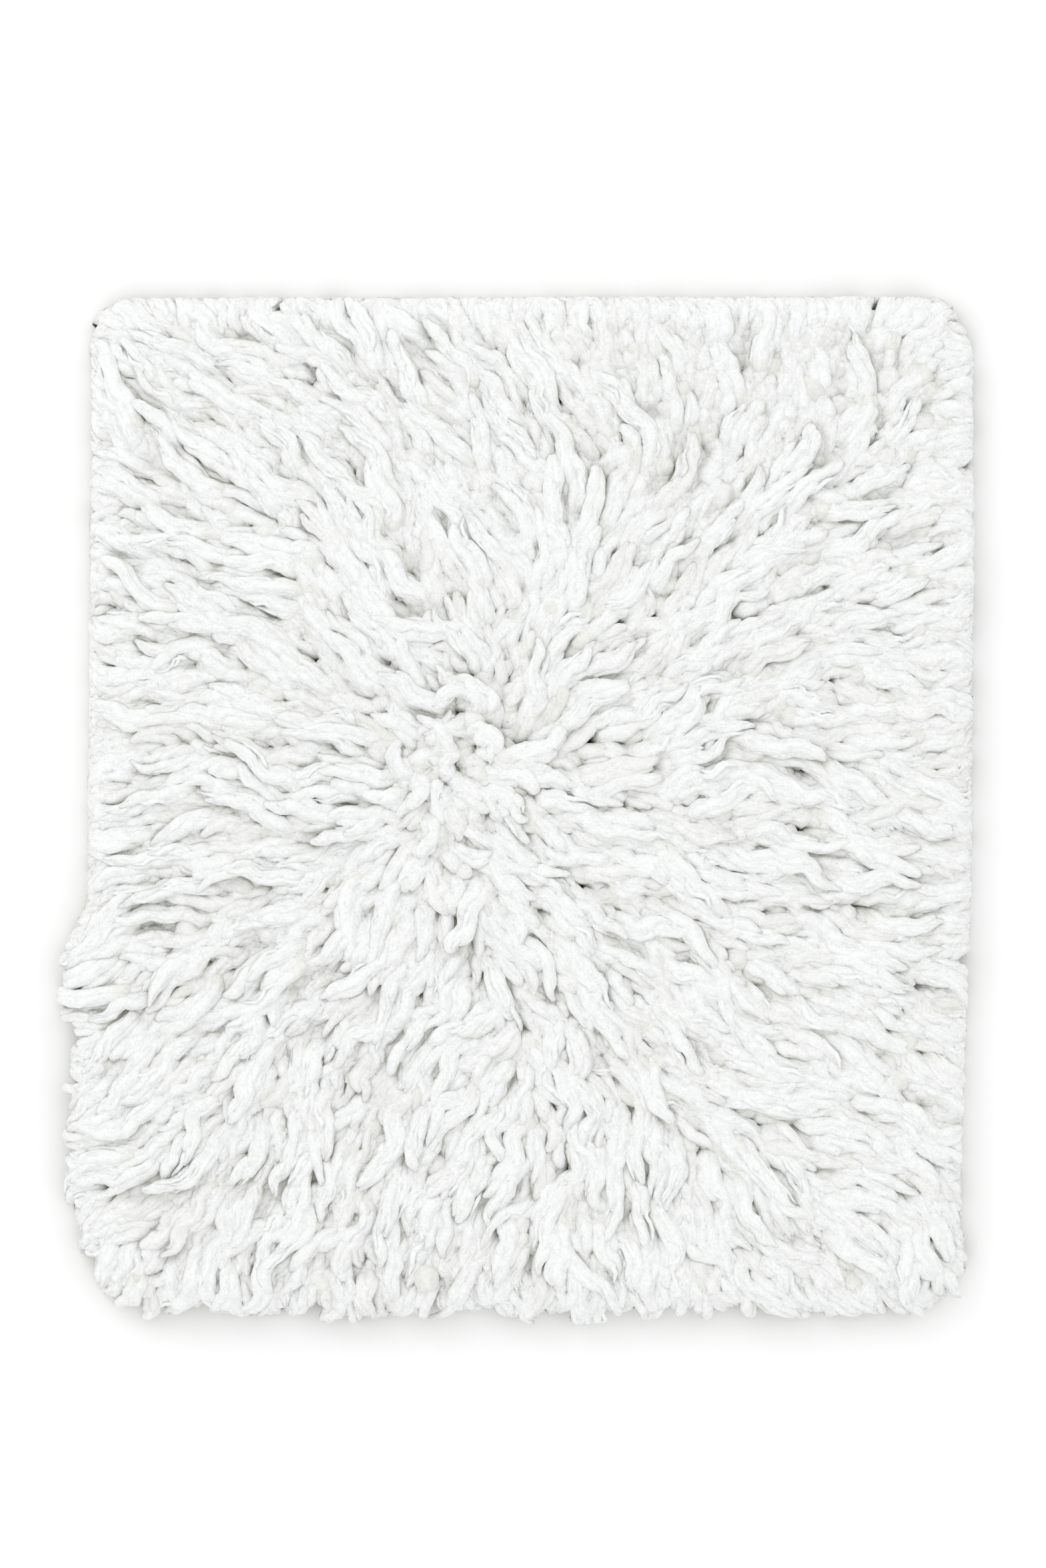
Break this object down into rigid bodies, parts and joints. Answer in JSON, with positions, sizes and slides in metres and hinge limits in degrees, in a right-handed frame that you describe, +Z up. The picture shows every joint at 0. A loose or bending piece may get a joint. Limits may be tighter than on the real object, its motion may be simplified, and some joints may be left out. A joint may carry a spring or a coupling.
{
  "type": "bath mat",
  "caption": "Rectangular shag bath mat with long white felted wool pile in tufted rows on a bound cloth base, with a ribbed anti-slip latex backing.",
  "frame": {"origin": "middle of the footprint, on the floor the mat lies on", "axes": "+Z up out of the pile, +Y along the longer side, +X along the shorter side to the right when the far end is up"},
  "size_m": [0.6, 0.675, 0.037],
  "materials": {
    "wool_pile": "felted wool locks, off white, matt",
    "base_weave": "plain weave, undyed",
    "tape_weave": "herringbone cotton tape, matt",
    "sewing_thread": "spun polyester thread",
    "label_ribbon": "blank satin ribbon",
    "precoat_latex": "dried latex, matt",
    "grip_latex": "foamed latex, matt"
  },
  "bodies": {
    "root": {"anti_slip_backing": "grip_latex", "latex_precoat": "precoat_latex", "base_cloth": "base_weave", "binding_tape": "tape_weave", "needle_thread": "sewing_thread", "bobbin_thread": "sewing_thread", "care_label": "label_ribbon", "label_thread": "sewing_thread", "pile_row_01": "wool_pile", "pile_row_02": "wool_pile", "pile_row_03": "wool_pile", "pile_row_04": "wool_pile", "pile_row_05": "wool_pile", "pile_row_06": "wool_pile", "pile_row_07": "wool_pile", "pile_row_08": "wool_pile", "pile_row_09": "wool_pile", "pile_row_10": "wool_pile", "pile_row_11": "wool_pile", "pile_row_12": "wool_pile", "pile_row_13": "wool_pile", "pile_row_14": "wool_pile", "pile_row_15": "wool_pile", "pile_row_16": "wool_pile", "pile_row_17": "wool_pile", "pile_row_18": "wool_pile", "pile_row_19": "wool_pile", "pile_row_20": "wool_pile", "pile_row_21": "wool_pile", "pile_row_22": "wool_pile", "pile_row_23": "wool_pile", "pile_row_24": "wool_pile", "pile_row_25": "wool_pile", "pile_row_26": "wool_pile", "pile_row_27": "wool_pile", "pile_row_28": "wool_pile", "pile_row_29": "wool_pile", "pile_row_30": "wool_pile", "pile_row_31": "wool_pile", "pile_row_32": "wool_pile", "pile_row_33": "wool_pile", "pile_row_34": "wool_pile", "pile_row_35": "wool_pile", "pile_row_36": "wool_pile", "pile_row_37": "wool_pile", "pile_row_38": "wool_pile", "pile_row_39": "wool_pile", "pile_row_40": "wool_pile", "pile_row_41": "wool_pile", "pile_row_42": "wool_pile", "pile_row_43": "wool_pile", "pile_row_44": "wool_pile", "pile_row_45": "wool_pile", "pile_row_46": "wool_pile", "pile_row_47": "wool_pile", "pile_row_48": "wool_pile"}
  },
  "joints": []
}
